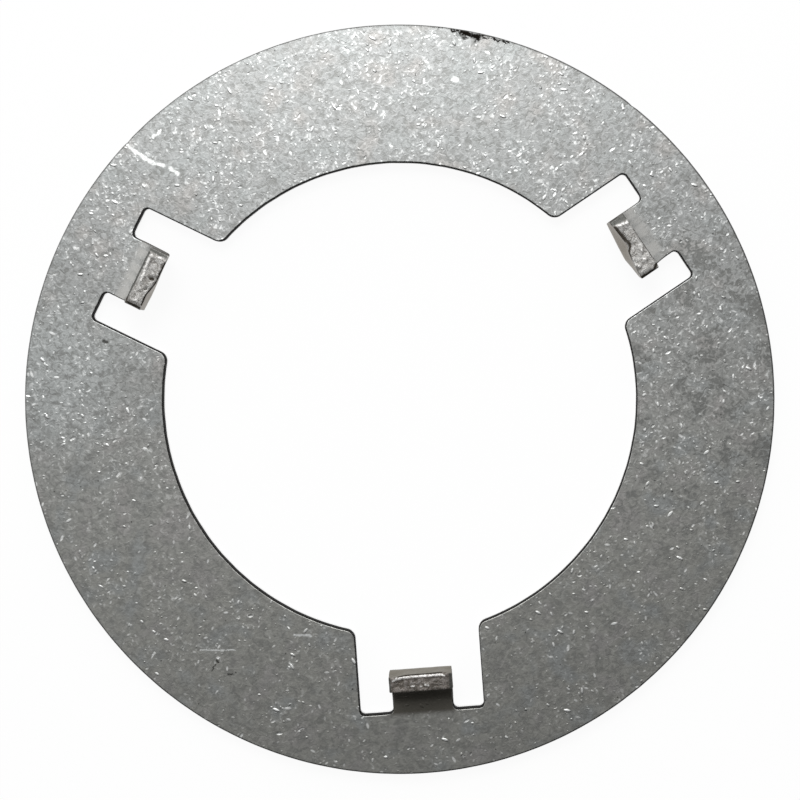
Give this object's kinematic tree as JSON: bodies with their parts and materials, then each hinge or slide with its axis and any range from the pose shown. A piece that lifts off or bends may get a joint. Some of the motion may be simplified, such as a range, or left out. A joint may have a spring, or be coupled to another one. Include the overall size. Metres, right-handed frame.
{
  "type": "thrust washer",
  "caption": "Flat steel thrust washer, a broad ring with notches in its bore, each holding a tab folded up square to the ring that keeps it from turning.",
  "frame": {"origin": "on the ring's axis, in the plane of the lower thrust face", "axes": "+Z along the ring's axis, towards the side that the tabs are folded to; -Y towards the middle of one notch and its tab"},
  "size_m": [0.1016, 0.1016, 0.0084],
  "materials": {
    "steel": "tumbled, dull grey with fine bright scratches"
  },
  "bodies": {
    "root": {"thrust_washer": "steel"}
  },
  "joints": []
}
